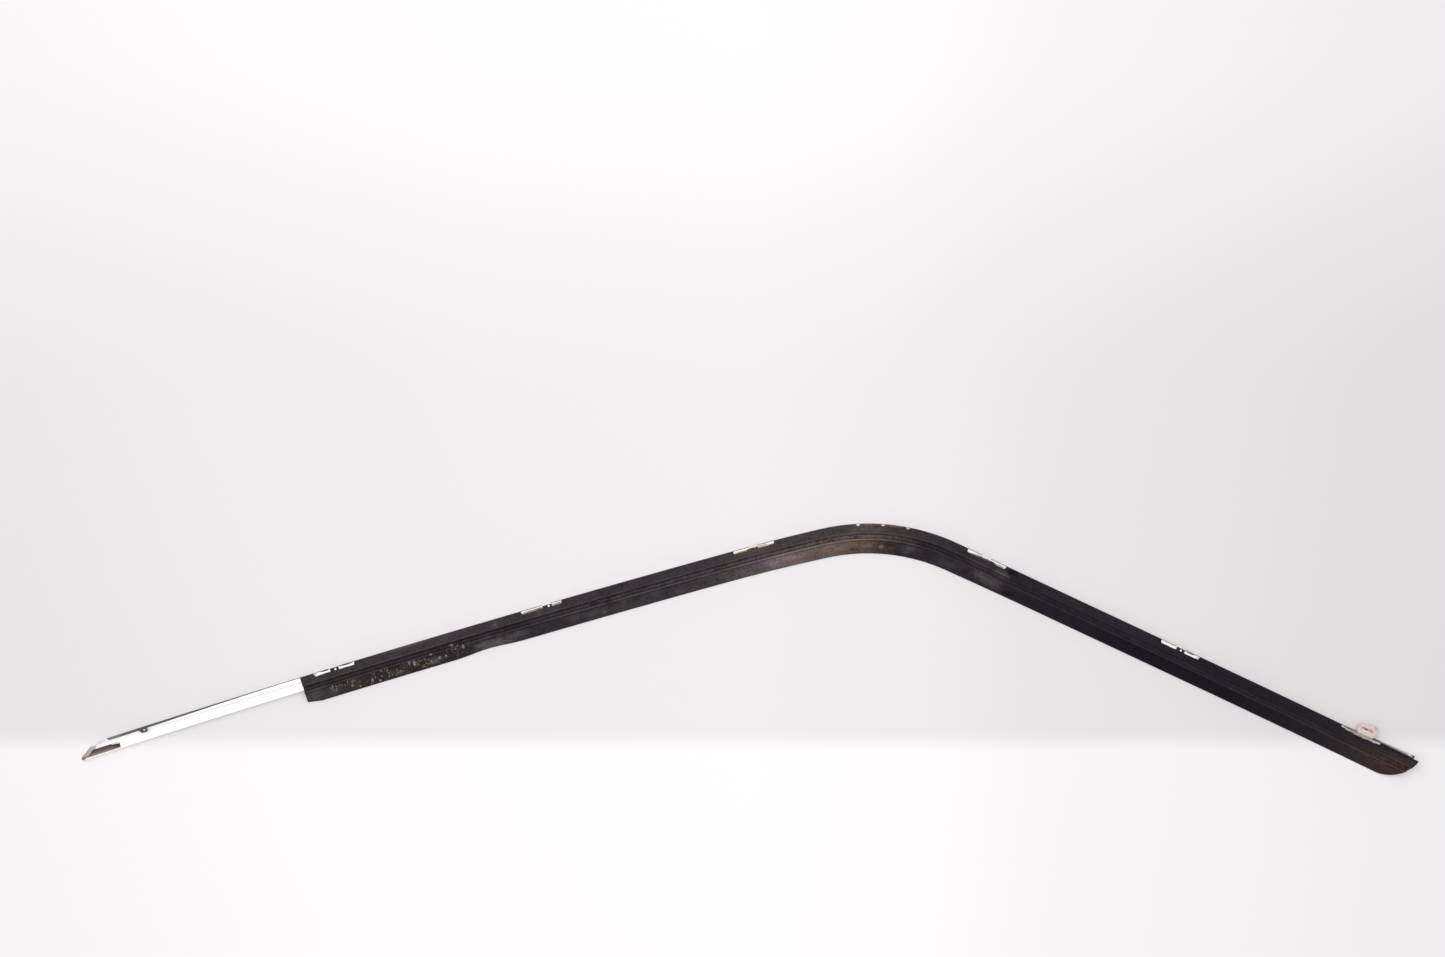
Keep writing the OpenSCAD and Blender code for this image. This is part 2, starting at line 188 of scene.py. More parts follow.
def speckle(t, where, scale, detail=4, rough=0.55):
    return t.node(
        "ShaderNodeTexNoise", sockets={"Vector": where, "Scale": scale, "Detail": detail, "Roughness": rough}
    )


def blend(t, share, first, second):
    return t.node("ShaderNodeMix", {"data_type": "RGBA"}, {0: share, 6: first, 7: second}, out=2)


def dim(t, colour, share):
    return t.node("ShaderNodeVectorMath", {"operation": "SCALE"}, {0: colour, "Scale": share})


def spot(t, x, y, z):
    return t.node("ShaderNodeCombineXYZ", sockets={"X": x, "Y": y, "Z": z})


def oval(t, plane, middle, size, ragged=0):
    # 1 in the middle of a soft oval and 0 outside it; ragged is a noise that breaks up its edge
    scaled = t.node(
        "ShaderNodeVectorMath", {"operation": "MULTIPLY"}, {0: plane, 1: (1 / size[0], 1 / size[1], 0)}
    )
    home = (middle[0] / size[0], middle[1] / size[1], 0)
    far = t.node("ShaderNodeVectorMath", {"operation": "DISTANCE"}, {0: scaled, 1: home}, out="Value")
    return climb(t, far + ragged, 1.15, 0.35)


def shades(t, place, stops, colours=tone):
    # a colour that changes from stop to stop, each at its own place in mm
    low, high = stops[0][0], stops[-1][0]
    ramp = [((at - low) / (high - low), colours(*shown)) for at, shown in stops]
    return t.node("ShaderNodeValToRGB", {"stops": ramp}, {"Fac": (place - low) / (high - low)})


def facingUp(t):
    # 1 on the faces that look up, 0 on walls and on the underside
    normal = t.node("ShaderNodeNewGeometry", out="Normal")
    return climb(t, t.node("ShaderNodeSeparateXYZ", sockets={0: normal}, out="Z"), 0.1, 0.4)


def findPlace(t):
    # how far along, how far across and how high a point of the surface is, in mm
    where = t.node("ShaderNodeTexCoord", out="Object")
    x, y, z = (t.node("ShaderNodeSeparateXYZ", sockets={0: where}, out=axis) / mm for axis in "XYZ")
    along = across = None
    for run in runs:
        ahead = Vector((math.cos(run["rise"]), math.sin(run["rise"])))
        inward = Vector((ahead.y, -ahead.x))
        if run["turn"] == 0:
            dx, dy = x - run["point"].x, y - run["point"].y
            runAlong = dx * ahead.x + dy * ahead.y + run["start"]
            runAcross = dx * inward.x + dy * inward.y
        else:
            radius = run["length"] / run["turn"]
            centre = run["point"] + radius * inward
            dx, dy = x - centre.x, y - centre.y
            runAlong = (run["rise"] + math.pi / 2 - t.math("ARCTAN2", dy, dx)) * radius + run["start"]
            runAcross = radius - (dx * dx + dy * dy) ** 0.5
        if along is None:
            along, across = runAlong, runAcross
        else:
            past = along > run["start"]
            along, across = along + past * (runAlong - along), across + past * (runAcross - across)
    return along, across, z


def newFinish(name):
    material = bpy.data.materials.new(name)
    material.use_nodes = True
    material.node_tree.nodes.clear()
    return material, Wire(material.node_tree)


def closeFinish(t, sockets):
    shader = t.node("ShaderNodeBsdfPrincipled", sockets=sockets)
    t.node("ShaderNodeOutputMaterial", sockets={"Surface": shader})


# Bright strip
bright = {
    "sheet": [  # its tone from the top edge inwards, which evens out what it mirrors
        (4, (242, 241, 239)), (7, (247, 246, 244)), (9, (243, 242, 240)), (12, (239, 238, 236)),
        (17, (238, 237, 235)),
    ],
    "cloud": (229, 227, 226),
    "returnLipHighlight": (246, 245, 244),
    "width": 19.6,
    "lipHeight": 8.3,
    "returnHeight": 5.5,
    "edge": (96, 87, 90),
    "edgeNearTip": (134, 122, 127),
    "edgeWidest": 4.1,
    "edgeNarrowest": 0.9,
    "edgeFade": (12, 300),  # where the dark edge band is widest and where it is narrowest
    "edgeStart": 15,
}
# The closed tip: its slanted end, the lower wall in shade, and the edge that is drawn in
tip = {
    "length": 32.5,
    "slant": 33,
    "drawn": 2.6,
    "upperCorner": -2.3,
    "wall": [(9.6, (80, 71, 73)), (13, (92, 80, 83)), (16.4, (124, 110, 106)), (18.8, (186, 172, 162))],
    "wallFrom": 9.6,
    "wallTo": 19,
    "wallEnd": 32,
    "wallShade": (58, 46, 58),
    "fold": (204, 190, 186),
    "foldWidth": 5.6,
    "corner": (122, 112, 88),
    "rim": (120, 117, 113),
}
# Marks on the folded lip where the windows show it: where, how far they reach, colour and strength. The dark seams,
# the dashes, the pink edge of the first window and the marks named shadow or shade are painted shade along the fold
# and beside the clips; the films, patches, spots and dirt are dirt.
lipMarks = [
    ("seam, first window", (345, 0.9), (10, 1.7), (66, 58, 56), 0.97),
    ("seam, first window, right", (375, 1), (13, 1.7), (62, 54, 52), 0.97),
    ("shadow of the first clip", (362.9, 3.2), (2, 3.4), (52, 38, 36), 0.95),
    ("pink edge", (329.5, 2), (2.5, 3), (222, 176, 180), 0.7),
    ("grey film, second window", (654, 4.6), (22, 3.4), (150, 143, 142), 0.97),
    ("brown film, second window", (664, 4.4), (7, 2.4), (120, 108, 98), 0.9),
    ("shadow of the second clip", (670, 3.8), (2.2, 2.8), (66, 50, 42), 0.95),
    ("the same on its right", (681.3, 3.8), (2.2, 2.8), (62, 44, 40), 0.95),
    ("beige film, second window", (690, 4.4), (11, 3.2), (164, 154, 142), 0.95),
    ("tan band, third window", (963, 4.8), (15, 2.4), (158, 138, 122), 0.97),
    ("brown edge, third window", (975, 4.3), (4.5, 2.2), (106, 76, 66), 0.95),
    ("between the bars of the third clip", (984, 4.4), (4, 2.2), (112, 64, 60), 0.95),
    ("beige patch, third window", (996, 4.1), (11, 2.8), (200, 180, 158), 0.95),
    ("spot above it", (993, 1.6), (3.5, 1.8), (222, 202, 188), 0.6),
    ("grey spot", (998.6, 1.2), (1.8, 1.6), (168, 168, 170), 0.7),
    ("pink end, third window", (1008, 4.8), (5, 1.4), (142, 110, 112), 0.85),
    ("shade along the rubber, first window", (345, 5.7), (15, 1.6), (66, 58, 58), 0.95),
    ("the same on the right", (374, 5.8), (13, 1.5), (66, 58, 58), 0.95),
    ("first dirt, fourth window", (1308, 5), (8, 1), (120, 110, 108), 0.7),
    ("dirt, fourth window", (1326, 4.3), (20, 2.8), (92, 84, 82), 0.97),
    ("darkest dirt, fourth window", (1338, 4.5), (10, 2.3), (56, 45, 43), 0.95),
    ("beige end, fourth window", (1351.5, 4.2), (8, 2.2), (170, 160, 152), 0.9),
    ("light seam, fifth window", (1617, 1.4), (11, 1), (206, 200, 198), 0.8),
    ("dashes, fifth window", (1651, 1.2), (9, 1.7), (96, 88, 86), 0.95),
    ("shadow of the fifth clip", (1641.3, 3.6), (1.9, 3.6), (60, 42, 34), 0.95),
    ("the same on its left", (1630.6, 2.6), (1.6, 2.4), (72, 52, 48), 0.8),
    ("corner, fifth window", (1663, 3.5), (2.4, 2.2), (180, 160, 160), 0.6),
    ("grey film, last window", (1921, 2.6), (36, 3.8), (158, 152, 150), 0.85),
    ("dark seam, last window", (1945, 0.2), (11, 1.6), (84, 78, 88), 0.95),
    ("dark seam, last window, left", (1904, 1.4), (14, 1.1), (104, 98, 98), 0.8),
    ("shade beside the nylon clip", (1912, 0), (5, 1.6), (132, 114, 120), 0.8),
    ("tan in the first notch", (1138, 4.3), (4.5, 2.6), (150, 112, 88), 0.9),
    ("tan in the second notch", (1172.6, 3.8), (3.5, 2.2), (152, 128, 118), 0.85),
    ("tan in the third notch", (1208.5, 4), (4.5, 2.8), (150, 130, 120), 0.85),
    ("tan film under the nylon clip", (1928, 1.5), (12, 2), (196, 184, 158), 0.6),
]
# Past the last window: the flange's tone, painted shade next to the rubber, a painted highlight near its end, and
# where it ends
heel = {
    "from": 1948,
    "light": (186, 180, 183),
    "dark": (92, 85, 89),
    "glint": ((1996.8, -2.2), (3.2, 1.3)),
    "end": 2002.6,
}


def findEnd(t, along, across):
    # how far behind the slanted end of the tip
    slant = math.radians(tip["slant"])
    return (along + tip["length"]) * math.sin(slant) - (bright["width"] - across) * math.cos(slant)


def paintTip(t, colour, along, across, z, up, fine):
    fromEnd = findEnd(t, along, across)
    low = tip["wallFrom"] + climb(t, along, 19, 21) * 1.6 + climb(t, along, 23, 31) * 0.9
    wall = climb(t, across - low, -0.2, 0.4) * climb(t, across, tip["wallTo"], 18.4)
    wall = wall * climb(t, along, tip["wallEnd"] + 0.3, tip["wallEnd"] - 0.5) * climb(t, fromEnd, 4.6, 5.8)
    wall = wall * up * climb(t, z, tip["wallTo"], 5.4)
    shown = shades(t, across + (fine - 0.5) * 1.6, tip["wall"])
    deep = climb(t, along, 17, 29) * within(t, across, 12.5, 16.8, 0.8)
    shown = blend(t, deep * 0.85, shown, tone(*tip["wallShade"]))
    colour = blend(t, wall, colour, shown)

    fold = climb(t, fromEnd, tip["foldWidth"] + 0.4, tip["foldWidth"] - 0.8) * climb(t, across, 3.5, 7) * up
    corner = climb(t, across, 13.5, 18)
    folded = blend(t, corner, tone(*tip["fold"]), tone(*tip["corner"]))
    colour = blend(t, fold * (0.78 + fine * 0.3), colour, folded)
    rim = climb(t, fromEnd, 1.3, 0.8) * climb(t, across, 2.5, 5) * up
    colour = blend(t, rim * 0.85, colour, tone(*tip["rim"]))

    drawnIn = tip["drawn"] * climb(t, along, bright["edgeStart"], tip["upperCorner"])
    thin = within(t, across - drawnIn, -0.6, 0.9, 0.2) * climb(t, along, bright["edgeStart"], 13) * climb(t, z, 4, 5)
    colour = blend(t, thin * 0.6, colour, tone(196, 190, 188))
    return colour, wall * 0.8 + fold * 0.7 + rim * 0.4


def paintHeel(t, colour, along, across, top, fine):
    # past the last window the flange is dull outside the rubber, with painted shade next to the rubber and a painted
    # highlight close to its end
    outer = climb(t, along, heel["from"] - 4, heel["from"] + 8) * climb(t, across, 0.9, 0.4) * top
    dark = climb(t, across + (fine - 0.5) * 1.2, -1.8, -0.1)
    shown = blend(t, dark, tone(*heel["light"]), tone(*heel["dark"]))
    glint = oval(t, spot(t, along, across, 0), *heel["glint"])
    shown = blend(t, glint, shown, tone(244, 242, 244))
    ring = climb(t, along, 1999.6, 2000.8)
    shown = blend(t, ring, shown, tone(134, 120, 134))
    shown = blend(t, climb(t, along, heel["end"] - 0.6, heel["end"] + 0.4), shown, tone(34, 30, 32))
    return blend(t, outer, colour, shown), outer * 0.9


def brightSheet():
    material, t = newFinish("brightSheet")
    along, across, z = findPlace(t)
    plane = spot(t, along, across, 0)
    up = facingUp(t)
    drawn = speckle(t, spot(t, along * 0.012, across * 1.4, z * 1.4), 1, 3, 0.6)  # drawn out by the rolls
    clouds = speckle(t, spot(t, along * 0.05, across * 0.16, z * 0.16), 1, 4)
    fine = speckle(t, spot(t, along * 0.9, across * 0.9, z * 0.9), 1, 5, 0.7)
    colour = shades(t, across, bright["sheet"])
    colour = blend(t, climb(t, clouds, 0.42, 0.75) * 0.5, colour, tone(*bright["cloud"]))
    # painted highlight: the return lip along the lower edge is painted lighter than the rest of the sheet
    lower = climb(t, across, bright["width"] - 2, bright["width"] - 1.6) * climb(t, z, 4.6, 5.2)
    colour = blend(t, lower * up, colour, tone(*bright["returnLipHighlight"]))

    # the dark band on the folded lip, which starts at a slant and narrows away from the tip
    top = climb(t, z, bright["lipHeight"] - 1.5, bright["lipHeight"]) * up
    fade = climb(t, along, *bright["edgeFade"])
    width = bright["edgeWidest"] - fade * (bright["edgeWidest"] - bright["edgeNarrowest"])
    band = top * climb(t, across, width + 0.25, width - 0.25)
    band = band * climb(t, along - across, bright["edgeStart"], bright["edgeStart"] + 1.5)
    edgeColour = blend(t, climb(t, along, 26, 46), tone(*bright["edgeNearTip"]), tone(*bright["edge"]))
    edgeColour = dim(t, edgeColour, 0.8 + clouds * 0.4)
    colour = blend(t, band * (0.85 + fine * 0.25), colour, edgeColour)
    colour, tipDull = paintTip(t, colour, along, across, z, up, fine)

    # what the windows show of the lip: dirt, and painted shade along the fold and beside the clips
    shadeAndGrime = 0
    ragged = (fine - 0.5) * 0.9 + (clouds - 0.5) * 0.6
    for name, middle, size, shown, strength in lipMarks:
        mark = oval(t, plane, middle, size, ragged) * top * strength
        colour = blend(t, mark, colour, tone(*shown))
        shadeAndGrime = mark * 0.6 + shadeAndGrime
    colour, heelDull = paintHeel(t, colour, along, across, top, fine)

    dull = t.node("ShaderNodeClamp", sockets={"Value": band + tipDull + shadeAndGrime + heelDull})
    scratches = climb(t, speckle(t, spot(t, along * 0.05, across * 9, z * 9), 1, 2, 0.8), 0.62, 0.7)
    height = drawn * 0.3 + fine * 0.1 + scratches * 0.2 + dull * fine
    bump = t.node("ShaderNodeBump", sockets={"Strength": 0.3, "Distance": 0.0002, "Height": height}, out="Normal")
    closeFinish(t, {
        "Base Color": colour,
        "Metallic": 1 - dull * 0.9,
        "Roughness": 0.16 + up * 0.12 + drawn * 0.1 + clouds * 0.08 + dull * 0.35,
        "Specular IOR Level": 0.2,
        "Normal": bump,
    })
    return material


# Black backing profile: its tones as the eye sees them, by the distance along it; the darker cover from 1680 to 1870
# mm is painted shade
rubber = {
    "sheen": 0.0085,  # what its faint gloss adds to every tone
    "cover": [
        (300, (63, 57, 60)), (520, (66, 59, 62)), (610, (62, 56, 59)), (780, (59, 54, 58)), (900, (63, 58, 61)),
        (1060, (71, 64, 66)), (1160, (76, 68, 68)), (1215, (61, 55, 58)), (1300, (53, 48, 54)),
        (1370, (43, 39, 44)), (1500, (46, 42, 48)), (1680, (39, 36, 42)), (1870, (39, 36, 41)), (1990, (56, 49, 50)),
    ],
    "channel": [
        (300, (62, 56, 59)), (640, (57, 53, 56)), (700, (71, 66, 69)), (900, (75, 69, 72)), (1010, (96, 88, 90)),
        (1150, (110, 98, 93)), (1240, (52, 47, 53)), (1500, (50, 46, 53)), (1760, (51, 47, 53)),
        (1900, (54, 50, 53)), (1980, (76, 66, 62)),
    ],
    "lip": [
        (300, (55, 50, 51)), (500, (50, 46, 46)), (640, (50, 47, 50)), (740, (58, 54, 57)), (900, (65, 61, 64)),
        (1000, (98, 91, 92)), (1110, (98, 85, 76)), (1200, (50, 46, 49)), (1300, (51, 47, 53)),
        (1400, (40, 37, 43)), (1600, (28, 26, 33)), (1740, (31, 28, 35)), (1870, (41, 37, 41)), (1980, (56, 49, 48)),
    ],
    "channelAt": (14.4, 22.4),
    # painted highlight on each ridge and painted shade in each crease
    "ridges": [((12.2, 13.9), 0.65), ((22.1, 23.9), 0.5)],  # from where to where, and how light
    "creaseShades": [(15.6, 1.6, 0.4), (20.6, 1.3, 0.4), (24.8, 1.4, 0.4)],  # across, width, how dark
}
# What lies on it: where (along, across), how far it reaches, its colour and how thick it lies
stains = [
    ("grey bloom at the start", (322, 31), (22, 10), (86, 81, 81), 0.85),
    ("worn lip", (348, 33), (20, 7), (78, 73, 73), 0.6),
    ("brown film", (379, 31), (12, 9), (82, 70, 64), 0.5),
    ("cream smear", (445, 34), (11, 4), (104, 95, 86), 0.8),
    ("olive smear", (452, 29), (9, 4), (78, 73, 65), 0.5),
    ("second cream smear", (499, 33), (14, 5), (102, 94, 86), 0.75),
    ("pale edge", (476, 1.4), (56, 2.4), (106, 90, 94), 0.6),
    ("worn lip by the dip", (586, 33), (34, 9), (102, 98, 94), 0.85),
    ("greenish wear", (569, 30), (12, 5), (90, 92, 87), 0.5),
    ("lip past the dip", (622, 31), (18, 7), (84, 84, 87), 0.6),
    ("chalk mark", (594, 9), (5, 4), (90, 83, 81), 0.7),
    ("its drip", (597, 7), (2, 6), (100, 93, 90), 0.6),
    ("light blotch in the channel", (582, 20.5), (9, 3.6), (96, 88, 88), 0.7),
    ("olive drip under the window", (661, 9), (6, 8), (86, 80, 70), 0.75),
    ("grey film", (684, 15), (13, 10), (76, 72, 76), 0.75),
    ("brown film on the lip", (707, 31), (12, 7), (84, 76, 75), 0.5),
    ("grey lip by the clip", (735, 33), (14, 6), (82, 78, 82), 0.6),
    ("rusty smear", (742, 19), (9, 4), (66, 49, 48), 0.8),
    ("pink mark", (751, 34), (6, 5), (96, 84, 84), 0.8),
    ("dark patch", (762, 21), (8, 9), (38, 36, 43), 0.8),
    ("green film", (783, 26), (17, 13), (72, 71, 67), 0.75),
    ("blue film", (842, 28), (15, 9), (54, 51, 61), 0.7),
    ("olive dust", (863, 33), (12, 5), (84, 79, 76), 0.6),
    ("faint bloom", (905, 27), (22, 10), (74, 71, 74), 0.5),
    ("dusty cover", (978, 8.5), (32, 5), (98, 84, 82), 0.5),
    ("grey lip", (972, 31), (32, 10), (92, 88, 90), 0.8),
    ("pale dust", (1030, 30), (40, 11), (132, 119, 117), 0.95),
    ("palest dust", (1004, 32), (13, 5), (138, 127, 124), 0.5),
    ("orange spot", (1038, 31), (3.5, 2.5), (146, 122, 108), 0.7),
    ("tan dust", (1093, 31), (34, 10), (122, 107, 97), 0.9),
    ("ochre dust", (1126, 27), (17, 6), (132, 114, 92), 0.75),
    ("olive shade", (1130, 36.5), (12, 4), (76, 68, 52), 0.85),
    ("dusty cover by the notches", (1148, 8), (32, 5), (96, 88, 86), 0.5),
    ("dust in the channel", (1100, 18), (62, 4), (104, 92, 88), 0.7),
    ("beige stripes", (1160, 18), (24, 3), (122, 110, 98), 0.7),
    ("ochre lip", (1147, 29), (17, 7), (120, 105, 90), 0.8),
    ("cream spot", (1172, 33), (4.5, 3), (150, 134, 112), 0.7),
    ("tan edge between the notches", (1154, 1.4), (17, 1.9), (124, 110, 94), 0.85),
    ("pink edge between the notches", (1190, 1.2), (16, 2), (142, 114, 112), 0.85),
    ("olive film", (1195, 21), (14, 7), (80, 72, 62), 0.8),
    ("dark olive blot", (1186, 30), (13, 8), (55, 54, 46), 0.97),
    ("dark lip", (1203, 34), (14, 7), (50, 47, 51), 0.8),
    ("blue grey bloom", (1217, 30), (14, 6), (84, 82, 87), 0.75),
    ("blue sheen", (1212, 36), (6, 3), (78, 79, 91), 0.6),
    ("violet film", (1281, 33), (17, 6), (70, 66, 76), 0.8),
    ("brown grey patch", (1326, 15), (20, 8), (74, 65, 67), 0.8),
    ("pinkish patch", (1332, 28), (14, 6), (92, 83, 84), 0.75),
    ("beige patch", (1357, 14), (15, 7), (84, 76, 75), 0.85),
    ("beige lip", (1352, 30), (18, 8), (88, 80, 75), 0.8),
    ("oil", (1372, 4), (9, 5), (25, 22, 25), 0.95),
    ("oil on the lip", (1377, 36), (8, 4), (24, 22, 26), 0.95),
    ("red mark", (1402, 11), (4, 3), (64, 47, 50), 0.8),
    ("brown foot", (1962, 25), (54, 16), (66, 57, 54), 0.9),
    ("red brown foot", (1990, 14), (14, 8), (74, 56, 54), 0.8),
    ("dark top of the foot", (1976, 2.6), (36, 4), (34, 32, 35), 0.9),
]
# Single flecks, taller than they are long
flecks = [
    ((405, 34), (1.9, 3.2)), ((386, 37), (1.8, 2)), ((375, 33), (1.6, 1.8)), ((415.5, 38), (2, 2)),
    ((430, 27), (1.3, 1.2)), ((430.5, 31), (1.4, 1.2)), ((430, 35), (1.4, 1.4)), ((462.4, 26), (1.6, 3.4)),
    ((470, 27.5), (1.8, 4.2)), ((496, 22.8), (2.4, 2)), ((494, 33), (1.6, 3)), ((507, 31), (2.6, 2.4)),
    ((528, 18.8), (3, 2.4)), ((543.6, 25), (2, 3.8)), ((536, 21.5), (1.5, 1.6)), ((516, 31), (1.8, 2)),
]


def rubberTone(red, green, blue):
    return tuple(max(v - rubber["sheen"], 0.0006) for v in tone(red, green, blue)[:3]) + (1,)


def agedRubber():
    material, t = newFinish("agedRubber")
    along, across, z = findPlace(t)
    plane = spot(t, along, across, 0)
    up = facingUp(t)
    mottle = speckle(t, spot(t, along * 0.035, across * 0.09, z * 0.09), 1, 4)
    blotch = speckle(t, spot(t, along * 0.13, across * 0.24, z * 0.24), 1, 5, 0.62)
    streak = speckle(t, spot(t, along * 0.06, across * 0.7, z * 0.7), 1, 4, 0.6)
    drip = speckle(t, spot(t, along * 0.5, across * 0.08, z * 0.08), 1, 3, 0.6)
    grain = speckle(t, spot(t, along * 0.33, across * 0.45, z * 0.45), 1, 4, 0.6)
    fine = speckle(t, spot(t, along, across, z), 1.3, 5, 0.7)

    colour = shades(t, along, rubber["cover"], rubberTone)
    low, high = rubber["channelAt"]
    colour = blend(t, climb(t, across, low - 0.6, low), colour, shades(t, along, rubber["channel"], rubberTone))
    colour = blend(t, climb(t, across, high, high + 1.6), colour, shades(t, along, rubber["lip"], rubberTone))
    roof = climb(t, along, 1300, 1200)

    # stains lie on the faces that look up, streaky and ragged
    ragged = (blotch - 0.5) * 2.8 + (streak - 0.5) * 2.2 + (grain - 0.5) * 2.6
    cover = up * (streak * 1.1 + grain * 1.7 - 0.5)
    dust = 0
    for name, middle, size, shown, thick in stains:
        patch = t.math("MINIMUM", oval(t, plane, middle, size, ragged) * cover * thick, 1)
        colour = blend(t, patch, colour, rubberTone(*shown))
        dust = patch * 0.5 + dust

    # the whole is mottled, lighter and darker, redder and bluer, with painted shade in each crease of the roof leg and
    # a painted highlight on each ridge
    depth = 1 + (mottle - 0.5) * 1.1 + (blotch - 0.5) * 1.3 + (streak - 0.5) * 0.9
    depth = depth + (drip - 0.5) * 0.7 + (grain - 0.5) * 1.8
    for place, width, dark in rubber["creaseShades"]:
        depth = depth - within(t, across, place - width / 2, place + width / 2, 0.35) * roof * dark
    for ends, light in rubber["ridges"]:
        depth = depth + within(t, across, *ends, 0.5) * light
    colour = dim(t, colour, t.math("MAXIMUM", depth, 0.2))
    tint = blend(t, climb(t, mottle, 0.4, 0.62), (1.08, 0.96, 0.95, 1), (0.96, 0.98, 1.08, 1))
    tint = blend(t, climb(t, drip * 0.5 + blotch * 0.5, 0.52, 0.64) * 0.6, tint, (0.96, 1.04, 0.92, 1))
    tint = blend(t, climb(t, grain * 0.6 + drip * 0.4, 0.53, 0.66) * roof * 0.8, tint, (1.2, 1.01, 0.82, 1))
    tint = blend(t, climb(t, grain * 0.6 + streak * 0.4, 0.47, 0.36) * roof * 0.7, tint, (0.86, 0.98, 1.06, 1))
    colour = t.node("ShaderNodeVectorMath", {"operation": "MULTIPLY"}, {0: colour, 1: tint})

    crumbs = 0
    for middle, size in flecks:
        crumbs = oval(t, plane, middle, size, (blotch - 0.5) * 0.9 + (fine - 0.5) * 0.5) + crumbs
    small = speckle(t, spot(t, along * 0.5, across * 0.26, z * 0.26), 1, 2, 0.4)
    crowd = within(t, along, 345, 560, 20) * climb(t, across, 21, 25)
    crumbs = t.node("ShaderNodeClamp", sockets={"Value": crumbs + climb(t, small, 0.66, 0.74) * crowd * 0.7})
    colour = blend(t, crumbs * up * (0.55 + fine * 0.5), colour, rubberTone(154, 145, 136))
    grit = climb(t, fine, 0.68, 0.8) * up * (0.2 + roof * 0.25)
    colour = blend(t, grit, colour, rubberTone(112, 103, 100))

    height = fine * 0.5 + streak * 0.25 + crumbs * 0.9 + blotch * 0.25
    bump = t.node("ShaderNodeBump", sockets={"Strength": 0.5, "Distance": 0.0003, "Height": height}, out="Normal")
    dusty = t.node("ShaderNodeClamp", sockets={"Value": dust + crumbs + grit})
    closeFinish(t, {
        "Base Color": colour,
        "Roughness": 0.56 + dusty * 0.35 + blotch * 0.14 - (1 - roof) * 0.06,
        "Specular IOR Level": 0.11,
        "Normal": bump,
    })
    return material


# Steel clips: where each is, its tone, and how far in from the top edge it shines as the strip does
clips = {
    "each": [
        {"along": 72, "tone": (88, 84, 80), "bright": -0.2},
        {"along": 358, "tone": (44, 30, 30), "bright": 0.5},
        {"along": 677, "tone": (58, 43, 38), "bright": 1.4},
        {"along": 984, "tone": (104, 56, 54), "bright": 2.4},
        {"along": 1331, "tone": (98, 88, 86), "bright": 2.9},
        {"along": 1637, "tone": (46, 30, 28), "bright": 0.5},
    ],
    "rust": (104, 62, 50),
    "pale": (236, 233, 231),
    "paleEnds": [(349.8, 1.5), (1628, 1.5)],  # ends where the bright lip shows through, and how far
    "rustyFrom": (600, 900),
}


def rustySteel():
    material, t = newFinish("rustySteel")
    along, across, z = findPlace(t)
    plane = spot(t, along, across, 0)
    blotch = speckle(t, spot(t, along, across, z), 0.34, 5, 0.65)
    fine = speckle(t, spot(t, along, across, z), 2.2, 4, 0.7)
    colour = shades(t, along, [(clip["along"], clip["tone"]) for clip in clips["each"]])
    colour = dim(t, colour, 0.55 + blotch * 0.9)
    share = 0.25 + climb(t, along, *clips["rustyFrom"]) * climb(t, along, 1150, 1040) * 0.35
    rust = climb(t, blotch * 0.5 + fine * 0.5, 0.66 - share * 0.3, 0.8 - share * 0.3) * 0.7
    colour = blend(t, rust, colour, dim(t, tone(*clips["rust"])[:3], 0.5 + fine))
    # painted highlight: each clip is painted as pale as the bright strip where it shines near the top edge, and at two
    # ends where the bright lip shows beside it
    worn = 0
    for clip in clips["each"]:
        near = within(t, along, clip["along"] - 18, clip["along"] + 18, 0.1)
        worn = near * climb(t, across, clip["bright"] + 0.5, clip["bright"] - 0.3) + worn
    for place, reach in clips["paleEnds"]:
        worn = oval(t, plane, (place, 3.4), (reach * 1.5, 4.2), (fine - 0.5) * 0.5) + worn
    colour = blend(t, t.math("MINIMUM", worn, 0.95), colour, tone(*clips["pale"]))
    bump = t.node("ShaderNodeBump", sockets={"Strength": 0.7, "Distance": 0.0002, "Height": fine + rust}, out="Normal")
    closeFinish(t, {
        "Base Color": colour,
        "Metallic": 0.4 - rust * 0.4,
        "Roughness": 0.5 + rust * 0.4,
        "Specular IOR Level": 0.2,
        "Normal": bump,
    })
    return material


# Nylon clip: out is the distance from the top edge, side the distance along from its middle
nylon = {
    "middle": 1926.8,
    "body": (230, 206, 199),
    "bodyLight": (238, 222, 216),
    "root": (233, 219, 195),
    "rootReach": (3.9, 2.4),
    "tints": [
        ("pink", (-3, 13.4), (7, 3), (233, 194, 198), 0.7),
        ("violet", (3.4, 9), (3.4, 3.2), (206, 172, 190), 0.6),
        # painted light: the groove is painted near white, for the light seen through the slot
        ("pale groove", (-2, 7.6), (7, 3.2), (252, 246, 244), 0.9),
        ("olive corner", (11, 15.6), (5, 4), (188, 178, 160), 0.8),
        ("grey corner", (-14, 9.5), (4, 4), (196, 182, 170), 0.7),
    ],
}


